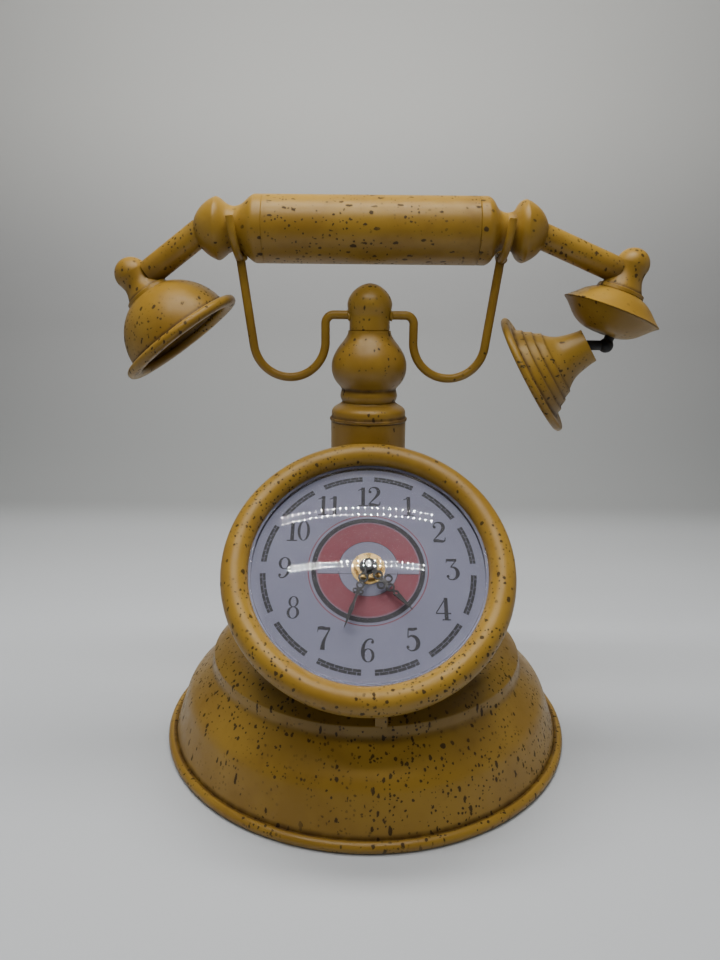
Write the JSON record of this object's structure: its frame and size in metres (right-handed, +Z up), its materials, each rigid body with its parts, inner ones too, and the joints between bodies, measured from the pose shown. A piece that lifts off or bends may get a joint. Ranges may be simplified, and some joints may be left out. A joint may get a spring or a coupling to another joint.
{
  "type": "table clock",
  "caption": "Table clock in the shape of an old cradle telephone: bell base, post, tilted quartz dial and a lift-off handset resting on two forks.",
  "frame": {"origin": "middle of the base circle on the surface it stands on", "axes": "+Z up, -Y towards the viewer of the dial, +X to the viewer's right along the handset"},
  "size_m": [0.2642, 0.2, 0.2595],
  "materials": {
    "mustard_paint": "semi-gloss mustard enamel with dark spatter",
    "bare_steel": "plain zinc plated",
    "dial_print": "matt printed paper",
    "clear_lens": "clear, polished",
    "dial_steel": "plain dark back plate",
    "brass": "bright",
    "black_hands": "black satin",
    "black_plastic": "moulded, fine texture",
    "white_plastic": "moulded nylon wheels",
    "green_board": "circuit laminate",
    "copper_coil": "enamelled copper winding",
    "black_rubber": "soft",
    "battery_skin": "plain wrapped cell",
    "nickel": "plated spring steel",
    "knob_plastic": "moulded red"
  },
  "bodies": {
    "stand": {"base_bell": "mustard_paint", "post_tube": "mustard_paint", "post_collar": "mustard_paint", "vase": "mustard_paint", "top_knob": "mustard_paint", "cradle_arm_left": "mustard_paint", "cradle_arm_right": "mustard_paint", "fork_left": "mustard_paint", "fork_right": "mustard_paint", "bezel": "mustard_paint", "case_ring": "mustard_paint", "case_tab": "mustard_paint", "case_bracket": "mustard_paint", "tie_rod": "bare_steel", "tie_nut": "bare_steel", "tie_washer": "bare_steel", "stator": "bare_steel", "dial_paper": "dial_print", "lens": "clear_lens", "dial_plate": "dial_steel", "brass_washer": "brass", "brass_nut": "brass", "movement_front": "black_plastic", "movement_back": "black_plastic", "train_plate": "white_plastic", "circuit_board": "green_board", "coil": "copper_coil", "movement_pad": "black_rubber", "battery": "battery_skin", "contact_plus": "nickel", "contact_minus": "nickel"},
    "handset": {"grip_tube": "mustard_paint", "grip_cap_left": "mustard_paint", "grip_cap_right": "mustard_paint", "bulb_left": "mustard_paint", "bulb_right": "mustard_paint", "handset_rod": "bare_steel", "arm_tube_left": "mustard_paint", "arm_tube_right": "mustard_paint", "ear_elbow": "mustard_paint", "mouth_elbow": "mustard_paint", "earpiece_dome": "mustard_paint", "ear_screw": "bare_steel", "pod_upper": "mustard_paint", "pod_lower": "mustard_paint", "horn_stub": "mustard_paint", "horn": "mustard_paint"},
    "minute_group": {"minute_arbor": "white_plastic", "minute_hand": "black_hands"},
    "hour_group": {"hour_wheel": "white_plastic", "hour_hand": "black_hands"},
    "motion_wheel": {"motion_wheel": "white_plastic"},
    "setting_knob": {"setting_knob": "knob_plastic"},
    "fourth_wheel": {"fourth_wheel": "white_plastic"},
    "fifth_wheel": {"fifth_wheel": "white_plastic"},
    "rotor": {"rotor": "white_plastic"},
    "third_wheel": {"third_wheel": "white_plastic"},
    "centre_wheel": {"centre_wheel": "white_plastic"}
  },
  "joints": [
    {"name": "handset_lift", "type": "slide", "parent": "stand", "child": "handset", "axis": [0, 0, 1], "range_m": [0, 0.045]},
    {"name": "minute_turn", "type": "hinge", "parent": "stand", "child": "minute_group", "pos_m": [0, -0.03983, 0.09298], "axis": [0, -0.6947, 0.7193], "continuous": true},
    {"name": "hour_turn", "type": "hinge", "parent": "stand", "child": "hour_group", "pos_m": [0, -0.03983, 0.09298], "axis": [0, -0.6947, 0.7193], "continuous": true},
    {"name": "motion_turn", "type": "hinge", "parent": "stand", "child": "motion_wheel", "pos_m": [0, -0.03264, 0.09993], "axis": [0, -0.6947, 0.7193], "continuous": true},
    {"name": "knob_turn", "type": "hinge", "parent": "stand", "child": "setting_knob", "pos_m": [0, -0.02544, 0.10688], "axis": [0, -0.6947, 0.7193], "continuous": true},
    {"name": "fourth_turn", "type": "hinge", "parent": "stand", "child": "fourth_wheel", "pos_m": [0, -0.03983, 0.09298], "axis": [0, -0.6947, 0.7193], "continuous": true},
    {"name": "fifth_turn", "type": "hinge", "parent": "stand", "child": "fifth_wheel", "pos_m": [0.00804, -0.03498, 0.09767], "axis": [0, -0.6947, 0.7193], "continuous": true},
    {"name": "rotor_turn", "type": "hinge", "parent": "stand", "child": "rotor", "pos_m": [0.01481, -0.03321, 0.09938], "axis": [0, -0.6947, 0.7193], "continuous": true},
    {"name": "third_turn", "type": "hinge", "parent": "stand", "child": "third_wheel", "pos_m": [-0.00998, -0.03569, 0.09699], "axis": [0, -0.6947, 0.7193], "continuous": true},
    {"name": "centre_turn", "type": "hinge", "parent": "stand", "child": "centre_wheel", "pos_m": [0, -0.03983, 0.09298], "axis": [0, -0.6947, 0.7193], "continuous": true}
  ],
  "couplings": [
    {"joint": "hour_turn", "follows": "minute_turn", "ratio": 0.083333},
    {"joint": "motion_turn", "follows": "minute_turn", "ratio": -0.33333},
    {"joint": "knob_turn", "follows": "minute_turn", "ratio": 1},
    {"joint": "fifth_turn", "follows": "fourth_turn", "ratio": -6},
    {"joint": "rotor_turn", "follows": "fourth_turn", "ratio": 30},
    {"joint": "third_turn", "follows": "fourth_turn", "ratio": -0.13333},
    {"joint": "centre_turn", "follows": "fourth_turn", "ratio": 0.016667}
  ]
}
